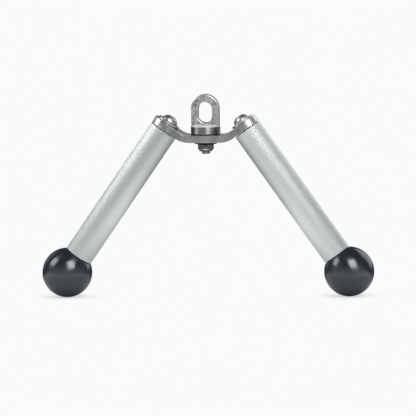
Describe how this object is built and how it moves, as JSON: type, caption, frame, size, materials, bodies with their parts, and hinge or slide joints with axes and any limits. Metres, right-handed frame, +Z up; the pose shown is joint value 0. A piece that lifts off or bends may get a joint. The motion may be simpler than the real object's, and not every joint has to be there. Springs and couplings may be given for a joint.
{
  "type": "tricep pushdown attachment",
  "caption": "Cable attachment with a swivelling eye on a bent steel bracket and two angled revolving grips that end in balls.",
  "frame": {"origin": "top of the eye's slot, where a cable's hook bears", "axes": "+Z up along the swivel, +X from the left grip to the right one, the eye's flat faces along Y"},
  "size_m": [0.3672, 0.055, 0.2235],
  "materials": {
    "eye_steel": "tumbled bare steel with a fine grain",
    "bracket_steel": "satin flat bar with fine mill lines on its edges",
    "satin_stainless": "satin stainless tube",
    "bright_steel": "bright zinc plated steel",
    "nut_steel": "plated steel, a little darker",
    "black_plastic": "turned black plastic, semi-gloss with fine rings",
    "black_acetal": "black machined plastic",
    "black_steel": "black oxide",
    "bronze": "oiled sintered bronze",
    "nylon": "nylon ring"
  },
  "bodies": {
    "hanger": {"swivel_eye": "eye_steel", "thrust_washer": "black_acetal", "retaining_washer": "black_steel", "lock_nut": "nut_steel", "lock_nut_insert": "nylon"},
    "yoke": {"bracket": "bracket_steel", "swivel_bushing": "bronze", "left_cap_screw": "bright_steel", "left_screw_washer": "bright_steel", "left_shaft": "bright_steel", "left_ball": "black_plastic", "left_ball_insert": "bright_steel", "right_cap_screw": "bright_steel", "right_screw_washer": "bright_steel", "right_shaft": "bright_steel", "right_ball": "black_plastic", "right_ball_insert": "bright_steel"},
    "left_handle": {"left_grip": "satin_stainless", "left_upper_bushing": "black_acetal", "left_lower_bushing": "black_acetal"},
    "right_handle": {"right_grip": "satin_stainless", "right_upper_bushing": "black_acetal", "right_lower_bushing": "black_acetal"}
  },
  "joints": [
    {"name": "swivel", "type": "hinge", "parent": "hanger", "child": "yoke", "pos_m": [0, 0, -0.0401], "axis": [0, 0, 1], "continuous": true},
    {"name": "left_grip_spin", "type": "hinge", "parent": "yoke", "child": "left_handle", "pos_m": [-0.0456, 0, -0.0298], "axis": [0.5736, 0, 0.8192], "continuous": true},
    {"name": "right_grip_spin", "type": "hinge", "parent": "yoke", "child": "right_handle", "pos_m": [0.0456, 0, -0.0298], "axis": [-0.5736, 0, 0.8192], "continuous": true}
  ]
}
